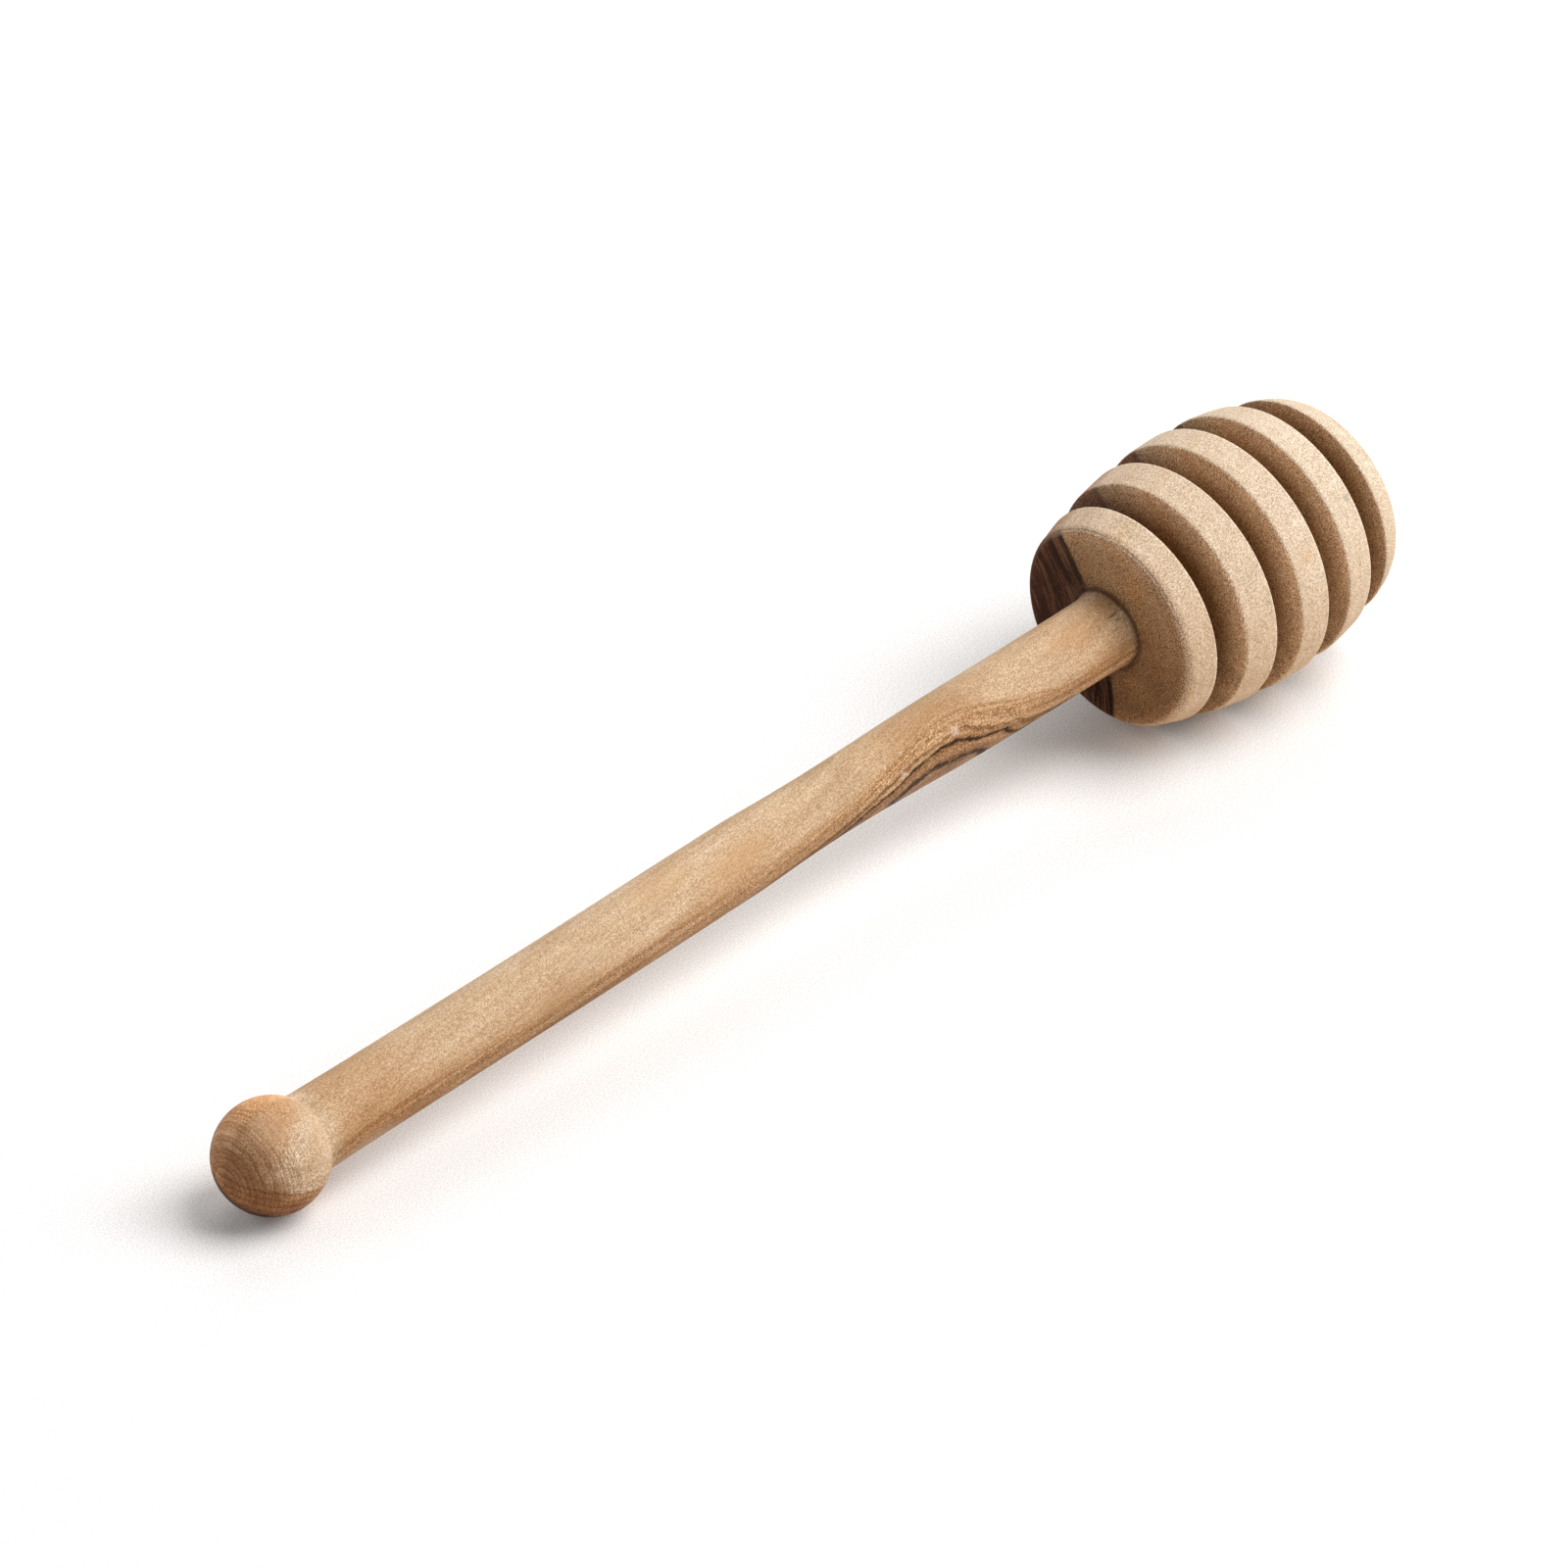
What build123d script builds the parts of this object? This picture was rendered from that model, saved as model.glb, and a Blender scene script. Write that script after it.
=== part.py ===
"""Honey dipper of two turned pieces: a waisted handle with a ball knob, glued into a grooved head.

Millimetres, +Z up. The dipper lies on its ball and its widest disc, with the handle along +X and the
head at the +X end. The origin is on the floor under the middle of its length.
Stations are measured along the turning axis from the centre of the ball.
"""
from math import asin, atan2, cos, hypot, sin, sqrt
import os

from build123d import *

# Handle
ball_radius = 6.1
handle_length = 121.6          # from the ball's centre to the face of the head
neck_radius = 4.27             # where the handle leaves the ball
grip_radius = 4.15
waist_radius = 3.84
foot_radius = 4.25             # between the waist and the flare
flare_radius = 4.85            # of the handle's end on the face of the head
flare_length = 1.3
# Stations as shares of handle_length
grip_start_share = 0.2
waist_start_share = 0.5
waist_share = 0.645
waist_end_share = 0.8

# Tenon and its socket
tenon_radius = 3.3
tenon_length = 16.0
tenon_chamfer = 0.6
glue_clearance = 0.08          # all round the tenon
glue_pocket = 1.0              # left beyond the tenon's end
mouth_chamfer = 0.35
mouth_angle = 90               # degrees, of the chamfer's cone

# Head
head_length = 38.0
head_radius = 15.0
face_radius = 10.95            # of the flat front face
roll_length = 0.9              # of the rounded edge between the face and the barrel
front_radius = 12.05           # of the barrel where that edge ends
widest_station = 18.7          # from the front face
shoulder_station = 32.6        # where the barrel turns into the rounded far end
shoulder_radius = 12.5
end_flat_radius = 3.2          # the small flat sanded where the head was parted off
# Between the shoulder and the end's flat, as shares of the way along and of the way out
far_end_shares = [(0.25, 0.9), (0.47, 0.7), (0.74, 0.4)]
end_steepness = 2.2            # of the far end's profile at the flat, against its mean slope
first_disc = 3.6
disc_width = 4.15
groove_width = 3.65
groove_count = 4
core_radius = 6.0
eased_edge = 0.4               # chamfer on the near edge of every other disc
overrun = 5.0                  # of the cutting sketches past the wood

# The two ends of the dipper touch the floor, which fixes how far the turning axis rises towards the
# head. The head touches with the front arc of its barrel, and the floor is the common tangent of
# that arc and the ball.
barrel_drop = head_radius - front_radius
front_arc_run = widest_station - roll_length
front_arc_radius = (front_arc_run**2 + barrel_drop**2) / (2 * barrel_drop)
arc_centre_station = handle_length + widest_station
arc_centre_height = front_arc_radius - head_radius
centre_distance = hypot(arc_centre_station, arc_centre_height)
rest_tilt = asin((front_arc_radius - ball_radius) / centre_distance)
rest_tilt -= atan2(arc_centre_height, arc_centre_station)

end_station = handle_length + head_length
far_reach = end_station * cos(rest_tilt) + end_flat_radius * sin(rest_tilt)
ball_centre = Vector((ball_radius - far_reach) / 2, 0, ball_radius)
turning_direction = Vector(cos(rest_tilt), 0, sin(rest_tilt))
turning_axis = Axis(ball_centre, turning_direction)

# Profiles are drawn with the station across and the radius up
profile_plane = Plane(ball_centre, x_dir=turning_direction, z_dir=(0, -1, 0))

# Handle: ball, stick and tenon in one profile
neck_station = sqrt(ball_radius**2 - neck_radius**2)
grip_start = (grip_start_share * handle_length, grip_radius)
waist_start = (waist_start_share * handle_length, grip_radius)
waist = (waist_share * handle_length, waist_radius)
waist_end = (waist_end_share * handle_length, foot_radius)
flare_start = (handle_length - flare_length, foot_radius)
tenon_end = handle_length + tenon_length

with BuildPart() as handle:
    with BuildSketch(profile_plane):
        with BuildLine():
            ball = ThreePointArc((-ball_radius, 0), (0, ball_radius), (neck_station, neck_radius))
            Polyline(ball @ 1, grip_start, waist_start)
            Spline(waist_start, waist, waist_end, tangents=[(1, 0), (1, 0)])
            Polyline(
                waist_end,
                flare_start,
                (handle_length, flare_radius),
                (handle_length, tenon_radius),
                (tenon_end - tenon_chamfer, tenon_radius),
                (tenon_end, tenon_radius - tenon_chamfer),
                (tenon_end, 0),
                ball @ 0,
            )
        make_face()
    revolve(axis=turning_axis)

# Dipper head: a barrel with a rounded far end, grooved all round and bored for the tenon
widest = (handle_length + widest_station, head_radius)
roll_end = (handle_length + roll_length, front_radius)
face_edge = (handle_length, face_radius)
shoulder = (handle_length + shoulder_station, shoulder_radius)
end_edge = (end_station, end_flat_radius)
far_end_run = head_length - shoulder_station
far_end_rise = shoulder_radius - end_flat_radius
far_end_points = [
    (shoulder[0] + along * far_end_run, end_flat_radius + out * far_end_rise)
    for along, out in far_end_shares
]
groove_pitch = groove_width + disc_width
groove_height = head_radius + overrun - core_radius
groove_starts = [handle_length + first_disc + i * groove_pitch for i in range(groove_count)]
socket_plane = Plane(turning_axis.position + turning_direction * handle_length, z_dir=-turning_direction)
socket_radius = tenon_radius + glue_clearance

with BuildPart() as dipper_head:
    with BuildSketch(profile_plane) as barrel:
        with BuildLine():
            front_arc = TangentArc(widest, roll_end, tangent=(-1, 0))
            Spline(roll_end, face_edge, tangents=[front_arc % 1, (0, -1)])
            far_arc = TangentArc(widest, shoulder, tangent=(1, 0))
            far_end_tangent = (far_end_run, -far_end_rise * end_steepness)
            Spline(shoulder, *far_end_points, end_edge, tangents=[far_arc % 1, far_end_tangent])
            Polyline(end_edge, (end_station, 0), (handle_length, 0), face_edge)
        make_face()
        for start in groove_starts:
            with Locations((start, core_radius)):
                Rectangle(groove_width, groove_height, align=(Align.MIN, Align.MIN), mode=Mode.SUBTRACT)
            near_corner = barrel.vertices().sort_by_distance((start + groove_width, head_radius))[0]
            chamfer(near_corner, eased_edge)
    revolve(axis=turning_axis)
    with Locations(socket_plane):
        CounterSinkHole(
            radius=socket_radius,
            counter_sink_radius=socket_radius + mouth_chamfer,
            depth=tenon_length + glue_pocket,
            counter_sink_angle=mouth_angle,
        )

# Files
os.makedirs("parts", exist_ok=True)
handle.part.label = "handle"
export_step(handle.part, "parts/handle.step")
dipper_head.part.label = "dipper_head"
export_step(dipper_head.part, "parts/dipper_head.step")
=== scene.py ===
"""Honey dipper in two pieces of turned wood, lying on a white floor under soft light from the right.

Lengths in the tables below are millimetres in the lathe's own space: the station runs along the
turning axis from the centre of the ball knob, and the radius is measured from that axis.
"""

from collections import namedtuple
from math import cos, radians, sin

import bpy
import numpy as np
from mathutils import Matrix, Vector


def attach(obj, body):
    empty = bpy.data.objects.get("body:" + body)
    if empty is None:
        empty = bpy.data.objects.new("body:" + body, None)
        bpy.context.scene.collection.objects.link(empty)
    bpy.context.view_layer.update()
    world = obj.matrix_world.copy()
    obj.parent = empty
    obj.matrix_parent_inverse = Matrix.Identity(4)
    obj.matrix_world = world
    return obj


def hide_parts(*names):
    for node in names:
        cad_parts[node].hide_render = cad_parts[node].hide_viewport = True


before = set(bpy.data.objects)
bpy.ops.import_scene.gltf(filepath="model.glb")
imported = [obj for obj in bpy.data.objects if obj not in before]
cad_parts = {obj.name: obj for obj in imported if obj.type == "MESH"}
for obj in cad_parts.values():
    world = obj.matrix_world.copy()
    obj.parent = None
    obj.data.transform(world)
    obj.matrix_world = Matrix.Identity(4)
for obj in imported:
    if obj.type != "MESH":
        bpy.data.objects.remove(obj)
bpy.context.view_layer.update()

MM = 0.001

# Where the lathe's space lies in the row frame
REST_TILT = radians(3.671)
BALL_CENTRE = np.array((-76.689, 0.0, 6.1))
ALONG = np.array((cos(REST_TILT), 0.0, sin(REST_TILT)))
ACROSS = np.array((0.0, 1.0, 0.0))
UP = np.array((-sin(REST_TILT), 0.0, cos(REST_TILT)))

# Handle
BALL_RADIUS = 6.1
HANDLE_LENGTH = 121.6
STICK_RADII = [
    (4.35, 4.27), (8.5, 4.22), (24.0, 4.15), (60.8, 4.15), (66.5, 4.13), (72.4, 3.93), (78.5, 3.84),
    (84.6, 3.91), (90.7, 4.06), (96.8, 4.19), (106.0, 4.24), (116.0, 4.29), (120.3, 4.33),
]
STICK_ENDS = (4.7, 120.0)        # stations between which the stick follows those radii
FLARE = [(0.9, 4.37), (0.4, 4.46), (0.0, 4.65)]  # distances from the face of the head, and radii
TENON_RADIUS = 3.3
TENON_END = 137.6
TENON_CHAMFER = 0.6
BOW = 0.32                       # the stick bends this far up and to +Y at BOW_STATION
BOW_STATION = 82.0
BOW_REACH = (30.0, 18.0)         # towards the ball, towards the head

# Head
HEAD_LENGTH = 38.0
HEAD_RADIUS = 15.0
FACE_EDGE = 11.45                # of the flat front face
WIDEST = 18.7
BARREL_FRONT_RADIUS = 12.05
ROLL_LENGTH = 0.9
ROLL_CORNER = 0.6                # station of the corner between the roll and the barrel
FAR_BARREL = [(32.6, 12.5), (33.95, 11.57), (35.14, 9.71), (36.6, 6.92), (38.0, 3.2)]
SHOULDER = 32.6
FIRST_DISC = 3.6
GROOVE_WIDTH = 3.65
DISC_WIDTH = 4.15
DISC_PITCH = GROOVE_WIDTH + DISC_WIDTH
GROOVES = 4
CORE_RADIUS = 6.0
SOCKET_RADIUS = 3.38
SOCKET_DEPTH = 17.0
MOUTH_CHAMFER = 0.35
# Roundings, as distances from the corner along both of its sides
FACE_ROUNDING = 0.4
ROLL_ROUNDING = 0.42
NEAR_ROUNDING = 0.12             # of a disc's edge at the near wall of a groove
FAR_ROUNDING = 0.45              # of the next disc's edge at the far wall
CORE_ROUNDING = 0.3
FIRST_BAND = 1.3                 # station of the first point on the first disc's band
BAND_START = 0.5                 # from a far wall to the first point on the next disc's band

AROUND = 256                     # columns of a turned mesh
HANDLE_STEP = 0.8                # longest step between the rows of each mesh
HEAD_STEP = 0.65
PITH = (30.4, -10.6)             # of the head's log, in Y and upwards from the turning axis
RUN_OUT = 14                     # degrees between the fibres and the turning axis, seen from -Y and above
FACE_LINES = (5.35, 11.46, 11.8)      # radii of the fine tool lines on the front face
LIMB_SHADE_SLANT = (-0.554, -0.59, 0.587)  # direction towards the camera, across the border of the painted shade low on the ball


# Turned meshes

def smooth_through(points, stations):
    """Radii at the stations, on a curve through the (station, radius) points.

    Between two points the curve is the cubic whose slope at each point is the mean of the slopes of
    the straight lines on its two sides.
    """
    at, value = np.array(points).T
    slopes = np.gradient(value, at)
    i = np.clip(np.searchsorted(at, stations) - 1, 0, len(at) - 2)
    gap = at[i + 1] - at[i]
    t = (stations - at[i]) / gap
    rise = (1 - t) ** 2 * (1 + 2 * t) * value[i] + t**2 * (3 - 2 * t) * value[i + 1]
    return rise + gap * t * (1 - t) * ((1 - t) * slopes[i] - t * slopes[i + 1])


def rounded(corners, step):
    """Profile through (station, radius, rounding) corners, with no two points further apart than step.

    A corner with a rounding becomes a parabola that touches both sides at that distance from it.
    """
    corners = np.array(corners, float)
    points, roundings = corners[:, :2], corners[:, 2]
    profile = [points[:1]]
    for i in range(1, len(points) - 1):
        if roundings[i] == 0:
            profile.append(points[i:i + 1])
            continue
        sides = points[[i - 1, i + 1]] - points[i]
        starts = points[i] + sides / np.linalg.norm(sides, axis=1)[:, None] * roundings[i]
        t = np.linspace(0, 1, 7)[:, None]
        profile.append((1 - t) ** 2 * starts[0] + 2 * t * (1 - t) * points[i] + t**2 * starts[1])
    profile.append(points[-1:])
    profile = np.concatenate(profile)
    lengths = np.linalg.norm(np.diff(profile, axis=0), axis=1)
    pieces = np.maximum(1, np.ceil(lengths / step)).astype(int)
    t = np.concatenate([np.arange(n) / n for n in pieces])[:, None]
    starts, ends = (np.repeat(side, pieces, axis=0) for side in (profile[:-1], profile[1:]))
    return np.concatenate([starts + (ends - starts) * t, profile[-1:]])


def turned_piece(name, profile, shift=None):
    """A closed mesh swept round the turning axis from a profile that starts and ends on it.

    Each vertex keeps its place in the lathe's space, before any shift, as the attribute lathe, and
    the share of end grain there, which is the radial part of the profile's direction, as end_grain.
    """
    steps = np.gradient(profile, axis=0)
    steep = np.abs(steps[:, 1]) / np.linalg.norm(steps, axis=1)
    rows = profile[1:-1]
    angle = np.linspace(0, 2 * np.pi, AROUND, endpoint=False)
    station = np.repeat(rows[:, :1], AROUND, axis=1)
    lathe = np.stack([station, -rows[:, 1:] * np.sin(angle), rows[:, 1:] * np.cos(angle)], axis=-1)
    lathe = lathe.reshape(-1, 3)
    poles = np.array([(profile[0, 0], 0, 0), (profile[-1, 0], 0, 0)])
    lathe = np.concatenate([lathe, poles])
    placed = BALL_CENTRE + lathe[:, :1] * ALONG + lathe[:, 1:2] * ACROSS + lathe[:, 2:] * UP
    if shift is not None:
        placed = placed + shift(lathe)

    grid = np.arange(len(rows) * AROUND).reshape(len(rows), AROUND)
    turned = np.roll(grid, -1, axis=1)
    quads = np.stack([grid[:-1], grid[1:], turned[1:], turned[:-1]], axis=-1).reshape(-1, 4)
    first, last = len(rows) * AROUND, len(rows) * AROUND + 1
    start_fan = [(first, a, b) for a, b in zip(grid[0].tolist(), turned[0].tolist())]
    end_fan = [(last, b, a) for a, b in zip(grid[-1].tolist(), turned[-1].tolist())]

    mesh = bpy.data.meshes.new(name)
    mesh.from_pydata((placed * MM).tolist(), [], quads.tolist() + start_fan + end_fan)
    mesh.shade_smooth()
    vectors = mesh.attributes.new("lathe", "FLOAT_VECTOR", "POINT")
    vectors.data.foreach_set("vector", lathe.ravel())
    grain = mesh.attributes.new("end_grain", "FLOAT", "POINT")
    grain.data.foreach_set("value", np.append(np.repeat(steep[1:-1], AROUND), (1.0, 1.0)))
    piece = bpy.data.objects.new(name, mesh)
    bpy.context.scene.collection.objects.link(piece)
    return piece


def handle_profile():
    """Ball, stick, flare and tenon, from the ball's free end to the tenon's far end."""
    turn = np.linspace(0, 1, 72)
    neck = STICK_RADII[0][1]
    swing = np.pi - np.arcsin(neck / BALL_RADIUS)
    ball_station = -BALL_RADIUS * np.cos(turn * swing)
    ball = np.stack([ball_station, BALL_RADIUS * np.sin(turn * swing), 0 * turn], axis=-1)
    stations = np.linspace(*STICK_ENDS, 260)
    stick = np.stack([stations, smooth_through(STICK_RADII, stations), 0 * stations], axis=-1)
    flare = [(HANDLE_LENGTH - back, radius, 0) for back, radius in FLARE]
    tenon = [
        (HANDLE_LENGTH, TENON_RADIUS, 0),
        (TENON_END - TENON_CHAMFER, TENON_RADIUS, 0),
        (TENON_END, TENON_RADIUS - TENON_CHAMFER, 0),
        (TENON_END, 0, 0),
    ]
    return rounded([*ball, *stick, *flare, *tenon], HANDLE_STEP)


def bow_of_stick(lathe):
    """The stick's slight bend: a bell curve along the station, steeper towards the head."""
    away = lathe[:, 0] - BOW_STATION
    reach = np.where(away < 0, *BOW_REACH)
    amount = BOW * np.exp(-((away / reach) ** 2))
    return amount[:, None] * (ACROSS + UP) / np.sqrt(2)


def barrel_radius(station):
    """The head's outline: two arcs that meet at the widest place, then the curve of the far end."""
    drop, run = HEAD_RADIUS - BARREL_FRONT_RADIUS, WIDEST - ROLL_LENGTH
    front = (run**2 + drop**2) / (2 * drop)
    drop, run = HEAD_RADIUS - FAR_BARREL[0][1], SHOULDER - WIDEST
    back = (run**2 + drop**2) / (2 * drop)
    radius = np.where(station < WIDEST, front, back)
    arc = HEAD_RADIUS - radius + np.sqrt(radius**2 - (station - WIDEST) ** 2)
    return np.where(station > SHOULDER, smooth_through(FAR_BARREL, station), arc)


def head_profile():
    """Socket, front face, five discs with four grooves between them, and the rounded far end."""
    corners = [
        (SOCKET_DEPTH, 0, 0),
        (SOCKET_DEPTH, SOCKET_RADIUS, 0),
        (MOUTH_CHAMFER, SOCKET_RADIUS, 0),
        (0, SOCKET_RADIUS + MOUTH_CHAMFER, 0),
        (0, FACE_EDGE, FACE_ROUNDING),
        (ROLL_CORNER, BARREL_FRONT_RADIUS, ROLL_ROUNDING),
    ]
    start = FIRST_BAND
    for i in range(GROOVES):
        near_wall = FIRST_DISC + i * DISC_PITCH
        far_wall = near_wall + GROOVE_WIDTH
        band = np.linspace(start, near_wall, 14)
        radii = barrel_radius(band)
        corners += [(s, r, 0) for s, r in zip(band[:-1], radii)]
        corners += [
            (near_wall, radii[-1], NEAR_ROUNDING),
            (near_wall, CORE_RADIUS, CORE_ROUNDING),
            (far_wall, CORE_RADIUS, CORE_ROUNDING),
            (far_wall, float(barrel_radius(far_wall)), FAR_ROUNDING),
        ]
        start = far_wall + BAND_START
    band = np.linspace(start, HEAD_LENGTH, 38)
    corners += [(s, r, 0) for s, r in zip(band, barrel_radius(band))]
    corners.append((HEAD_LENGTH, 0, 0))
    corners = np.array(corners)
    corners[:, 0] += HANDLE_LENGTH
    return rounded(corners, HEAD_STEP)


handle = turned_piece("turned_handle", handle_profile(), bow_of_stick)
head = turned_piece("turned_head", head_profile())


def add_ring_coordinate(piece):
    """The growth ring that each place of the handle lies in, as the attribute ring.

    Rings are nearly level layers whose normal leans 130 degrees from up towards -Y, and 150 on the
    ball. Over a knot near the waist they rise by a bell curve along the station, less on the deeper
    layers, and past the knot's middle the deeper ones sink back by up to 0.4.
    """
    lathe = np.empty(len(piece.data.vertices) * 3)
    piece.data.attributes["lathe"].data.foreach_get("vector", lathe)
    station, across, up = lathe.reshape(-1, 3).T
    lean = np.radians(130 + 20 * np.clip((9 - station) / 9, 0, 1))
    depth = up * np.cos(lean) - across * np.sin(lean)
    away = station - 94.3
    swell = np.exp(-((away / np.where(away < 0, 15.8, 10.8)) ** 2))
    ring = depth + (3.26 - 0.34 * depth) * swell
    ring -= 0.4 * np.clip((station - 90) / 9, 0, 1) * np.clip((depth - 1) / 2, 0, 1)
    values = piece.data.attributes.new("ring", "FLOAT", "POINT")
    values.data.foreach_set("value", ring)


add_ring_coordinate(handle)


# Materials

def node(tree, kind, inputs=None, **settings):
    """Adds a node with its settings, and sets or links its inputs, named or numbered."""
    made = tree.nodes.new("ShaderNode" + kind)
    for key, value in settings.items():
        setattr(made, key, value)
    for key, value in (inputs or {}).items():
        if isinstance(value, bpy.types.NodeSocket):
            tree.links.new(value, made.inputs[key])
        else:
            made.inputs[key].default_value = value
    return made


def calc(tree, operation, *values):
    """The result of one Math node."""
    made = node(tree, "Math", dict(enumerate(values)), operation=operation)
    return made.outputs[0]


def spread(tree, value, low, high, to_low=0.0, to_high=1.0):
    """A value taken from one range to another along a smooth step, and held at the ends."""
    ends = {"Value": value, "From Min": low, "From Max": high, "To Min": to_low, "To Max": to_high}
    return node(tree, "MapRange", ends, interpolation_type="SMOOTHSTEP").outputs["Result"]


def mix_number(tree, share, first, second):
    """Two numbers mixed by a share."""
    return node(tree, "Mix", {0: share, 2: first, 3: second}, data_type="FLOAT").outputs[0]


def mix(tree, share, first, second, blend="MIX"):
    """Two colours mixed by a share."""
    made = node(tree, "Mix", {0: share, 6: first, 7: second}, data_type="RGBA", blend_type=blend)
    return made.outputs[2]


def grain_noise(tree, place, stretch, scale, detail=2.0, roughness=0.5):
    """Noise in the lathe's space, stretched along axes that are turned by the fibres' run-out."""
    turn = Matrix.Rotation(radians(RUN_OUT), 3, Vector((0, -0.77, 0.64))).to_euler()
    inputs = {"Vector": place, "Rotation": turn, "Scale": stretch}
    moved = node(tree, "Mapping", inputs, vector_type="TEXTURE")
    inputs = {"Vector": moved.outputs[0], "Scale": scale, "Detail": detail, "Roughness": roughness}
    return node(tree, "TexNoise", inputs).outputs["Fac"]


def colour_ramp(tree, value, stops, interpolation="LINEAR"):
    """A colour ramp with (position, colour) stops."""
    made = node(tree, "ValToRGB", {0: value})
    ramp = made.color_ramp
    ramp.interpolation = interpolation
    while len(ramp.elements) < len(stops):
        ramp.elements.new(1.0)
    for element, (position, colour) in zip(ramp.elements, stops):
        element.position = position
        element.color = (*colour, 1.0)
    return made.outputs["Color"]


def new_group(name, inputs, outputs):
    """An empty node group with vector inputs and number outputs, its input sockets and its end."""
    tree = bpy.data.node_groups.new(name, "ShaderNodeTree")
    for label in inputs:
        tree.interface.new_socket(label, in_out="INPUT", socket_type="NodeSocketVector")
    for label in outputs:
        tree.interface.new_socket(label, in_out="OUTPUT", socket_type="NodeSocketFloat")
    return tree, tree.nodes.new("NodeGroupInput").outputs, tree.nodes.new("NodeGroupOutput").inputs


def fibre_group():
    """Node group: the long fibres of a wood whose grain runs along the turning axis.

    Streak is slow change of tone along the grain, Patch is broad warm and pale areas, Fleck marks
    short dark dashes of pores, and Speck is the fine unevenness of a sanded surface.
    """
    tree, inputs, outputs = new_group("wood_fibres", ["Place"], ["Streak", "Patch", "Fleck", "Speck"])
    place = inputs["Place"]
    dashes = grain_noise(tree, place, (8, 1, 1), 6.0, 1.0)
    made = {
        "Streak": grain_noise(tree, place, (14, 1, 1), 0.9, 4.0, 0.6),
        "Patch": grain_noise(tree, place, (5, 1, 1), 0.35, 2.0, 0.5),
        "Fleck": spread(tree, dashes, 0.57, 0.72),
        "Speck": grain_noise(tree, place, (1.8, 1, 1), 7.5, 1.0, 0.9),
    }
    for label, value in made.items():
        tree.links.new(value, outputs[label])
    return tree


def lathe_group():
    """Node group: fine tool marks, which are circles round the turning axis, and the radius."""
    tree, inputs, outputs = new_group("lathe_marks", ["Place"], ["Marks", "Radius"])
    parts = node(tree, "SeparateXYZ", {0: inputs["Place"]}).outputs
    flat = node(tree, "CombineXYZ", {1: parts["Y"], 2: parts["Z"]}).outputs[0]
    radius = node(tree, "VectorMath", {0: flat}, operation="LENGTH").outputs["Value"]
    slow = node(tree, "VectorMath", {0: flat, "Scale": 0.05}, operation="SCALE").outputs[0]
    fast = node(tree, "CombineXYZ", {0: calc(tree, "ADD", parts["X"], radius)}).outputs[0]
    swept = node(tree, "VectorMath", {0: slow, 1: fast}, operation="ADD").outputs[0]
    marks = node(tree, "TexNoise", {"Vector": swept, "Scale": 3.2, "Detail": 3.0}).outputs["Fac"]
    tree.links.new(marks, outputs["Marks"])
    tree.links.new(radius, outputs["Radius"])
    return tree


def layer_group():
    """Node group: thin streaks that follow the growth rings, from the ring's number and the place."""
    tree, inputs, outputs = new_group("growth_layers", ["Place"], ["Layers"])
    ring = tree.interface.new_socket("Ring", in_out="INPUT", socket_type="NodeSocketFloat")
    parts = node(tree, "SeparateXYZ", {0: inputs["Place"]}).outputs
    slow = [calc(tree, "MULTIPLY", parts[axis], share) for axis, share in zip("XYZ", (0.02, 0.06, 0.06))]
    across = calc(tree, "ADD", slow[0], inputs[ring.name])
    layers = node(tree, "CombineXYZ", {0: across, 1: slow[1], 2: slow[2]}).outputs[0]
    noise = node(tree, "TexNoise", {"Vector": layers, "Scale": 3.0, "Detail": 4.0, "Roughness": 0.65})
    tree.links.new(noise.outputs["Fac"], outputs["Layers"])
    return tree


FIBRES = fibre_group()
LAYERS = layer_group()
LATHE_MARKS = lathe_group()


# What a wood's material is built from: its node tree, shader and place on the lathe, the place's
# parts, the shared fibres, and the lathe's marks and radius
Wood = namedtuple("Wood", "tree shader place station across up fibres marks radius")


def new_wood(name):
    """An empty material and the Wood that it is built from."""
    material = bpy.data.materials.new(name)
    material.use_nodes = True
    tree = material.node_tree
    shader = tree.nodes["Principled BSDF"]
    shader.inputs["Specular IOR Level"].default_value = 0.06
    place = node(tree, "Attribute", attribute_name="lathe").outputs["Vector"]
    parts = node(tree, "SeparateXYZ", {0: place}).outputs
    fibres = node(tree, "Group", {"Place": place}, node_tree=FIBRES).outputs
    lathe = node(tree, "Group", {"Place": place}, node_tree=LATHE_MARKS).outputs
    station, across, up = (parts[axis] for axis in "XYZ")
    wood = Wood(tree, shader, place, station, across, up, fibres, lathe["Marks"], lathe["Radius"])
    return material, wood


def times(tree, colour, value, low, high, darkest, lightest):
    """A colour multiplied by a tone that runs from darkest to lightest as value does from low to high."""
    tone = colour_ramp(tree, value, [(low, darkest), (high, lightest)])
    return mix(tree, 1.0, colour, tone, "MULTIPLY")


def spot(wood, centre, size):
    """1 at the centre of an egg-shaped region with these half sizes, falling smoothly to 0 at its edge."""
    tree = wood.tree
    away = node(tree, "VectorMath", {0: wood.place, 1: centre}, operation="SUBTRACT").outputs[0]
    away = node(tree, "VectorMath", {0: away, 1: size}, operation="DIVIDE").outputs[0]
    away = node(tree, "VectorMath", {0: away}, operation="LENGTH").outputs["Value"]
    return spread(tree, away, 1.0, 0.3)


def growth_layers(wood, ring):
    """The fine streaks along the growth rings."""
    return node(wood.tree, "Group", {"Place": wood.place, "Ring": ring}, node_tree=LAYERS).outputs["Layers"]


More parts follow.
